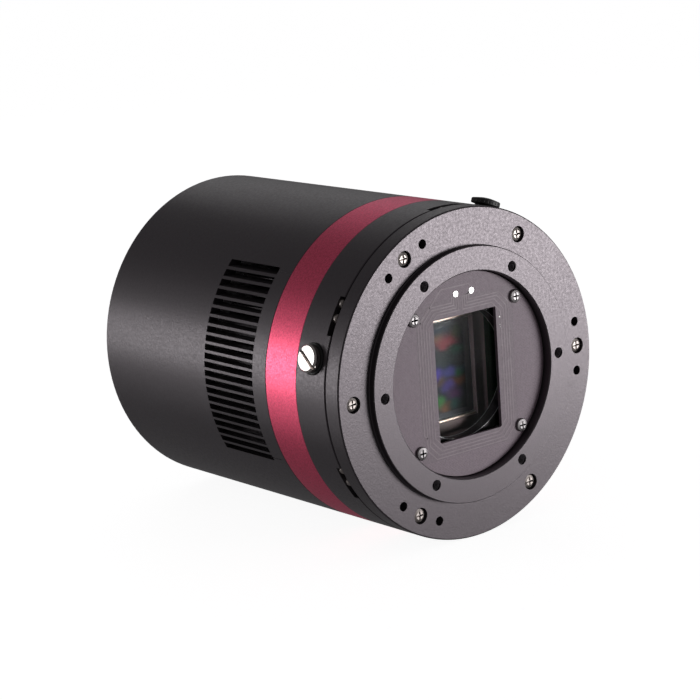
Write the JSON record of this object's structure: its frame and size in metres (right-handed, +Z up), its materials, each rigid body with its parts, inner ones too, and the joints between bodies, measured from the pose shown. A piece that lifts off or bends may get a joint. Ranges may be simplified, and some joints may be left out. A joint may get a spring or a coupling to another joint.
{
  "type": "cooled astronomy camera",
  "caption": "Round cooled astronomy camera: tilt flange with raised adapter ring, heated sensor window, drying-port plugs, accent ring, side-vented barrel with cooler, fan and rear sockets.",
  "frame": {"origin": "centre of the raised adapter ring's front face, on the optical axis", "axes": "+Y along the optical axis towards the back, so the front looks along -Y; +Z up, -X is the side of the slotted drying-port plug"},
  "size_m": [0.0916, 0.1098, 0.0901],
  "materials": {
    "anodised_black": "satin black anodised",
    "anodised_red": "satin red anodised",
    "screw_steel": "bright nickel plated",
    "black_steel": "black oxide",
    "heater_board": "matt grey solder mask",
    "solder": "bright solder",
    "window_glass": "anti-reflection coated",
    "seal_rubber": "matt",
    "plug_chrome": "polished",
    "plug_black": "moulded",
    "sensor_ceramic": "fired ceramic",
    "sensor_silicon": "polished die",
    "board_green": "solder mask",
    "chip_black": "moulded",
    "copper": "machined",
    "cooler_ceramic": "ceramic",
    "pellet": "cut",
    "heat_sink_metal": "black anodised, cut fins",
    "bare_aluminium": "machined",
    "post_metal": "black anodised",
    "brass_plated": "machined",
    "nylon": "moulded",
    "connector_black": "moulded",
    "flex_amber": "polyimide film",
    "ribbon_grey": "extruded",
    "rotor_black": "moulded",
    "shaft_steel": "ground",
    "bearing_bronze": "sintered",
    "stator": "enamelled windings",
    "socket_metal": "nickel plated",
    "usb_blue": "moulded",
    "contact_gold": "plated"
  },
  "bodies": {
    "flange": {"tilt_flange": "anodised_black", "flange_screws": "screw_steel"},
    "tilt_ring": {"light_seal_ring": "seal_rubber"},
    "camera": {"accent_ring": "anodised_red", "back_plate": "anodised_black", "back_plate_screws": "black_steel", "board_carrier": "bare_aluminium", "chamber_o_ring": "seal_rubber", "chamber_screws": "screw_steel", "cold_finger": "copper", "cooler_ceramics": "cooler_ceramic", "cooler_pellets": "pellet", "fan_bearing": "bearing_bronze", "fan_frame": "connector_black", "fan_screws": "black_steel", "fan_stator": "stator", "filter_wheel_nut": "socket_metal", "filter_wheel_pins": "contact_gold", "filter_wheel_socket": "socket_metal", "front_housing": "anodised_black", "heat_sink": "heat_sink_metal", "heater_board_screws": "screw_steel", "heater_solder_pads": "solder", "interface_board": "board_green", "interface_ribbon_cable": "ribbon_grey", "jack_screws": "black_steel", "main_board": "board_green", "main_board_chips": "chip_black", "main_board_screws": "screw_steel", "main_board_spacers": "brass_plated", "main_ribbon_cable": "ribbon_grey", "optical_window": "window_glass", "power_socket": "connector_black", "power_socket_pin": "contact_gold", "rear_shell": "anodised_black", "sensor_board": "board_green", "sensor_board_screws": "screw_steel", "sensor_board_spacers": "nylon", "sensor_cover_glass": "window_glass", "sensor_die": "sensor_silicon", "sensor_flex_cable": "flex_amber", "sensor_package": "sensor_ceramic", "shell_screws": "screw_steel", "signal_feedthrough": "connector_black", "tie_posts": "post_metal", "usb_socket_shell": "socket_metal", "usb_socket_tongue": "usb_blue", "window_gasket": "seal_rubber", "window_heater_board": "heater_board", "window_o_ring": "seal_rubber"},
    "port_seal": {"port_plug_o_ring": "seal_rubber"},
    "port_plug": {"port_plug": "plug_chrome"},
    "thumb_seal": {"thumb_plug_o_ring": "seal_rubber"},
    "thumb_plug": {"thumb_plug": "plug_black"},
    "fan_rotor": {"fan_rotor": "rotor_black", "fan_shaft": "shaft_steel"}
  },
  "joints": [
    {"name": "tilt_x", "type": "hinge", "parent": "flange", "child": "tilt_ring", "pos_m": [0, 0.0073, 0], "axis": [1, 0, 0], "range_deg": [-0.3, 0.3]},
    {"name": "tilt_z", "type": "hinge", "parent": "tilt_ring", "child": "camera", "pos_m": [0, 0.0073, 0], "axis": [0, 0, 1], "range_deg": [-0.3, 0.3]},
    {"name": "fan_spin", "type": "hinge", "parent": "camera", "child": "fan_rotor", "pos_m": [0, 0.1, 0.009], "axis": [0, 1, 0], "continuous": true},
    {"name": "port_plug_travel", "type": "slide", "parent": "camera", "child": "port_seal", "axis": [-0.9673, 0, 0.2538], "range_m": [0, 0.007]},
    {"name": "port_plug_turn", "type": "hinge", "parent": "port_seal", "child": "port_plug", "pos_m": [-0.04353, 0.013, 0.01142], "axis": [-0.9673, 0, 0.2538], "range_deg": [0, 2530]},
    {"name": "thumb_plug_travel", "type": "slide", "parent": "camera", "child": "thumb_seal", "axis": [0.3567, 0, 0.9342], "range_m": [0, 0.007]},
    {"name": "thumb_plug_turn", "type": "hinge", "parent": "thumb_seal", "child": "thumb_plug", "pos_m": [0.01605, 0.0102, 0.04204], "axis": [0.3567, 0, 0.9342], "range_deg": [0, 2530]}
  ],
  "couplings": [
    {"joint": "port_plug_turn", "follows": "port_plug_travel", "rad_per_m": 6283.2},
    {"joint": "thumb_plug_turn", "follows": "thumb_plug_travel", "rad_per_m": 6283.2}
  ]
}
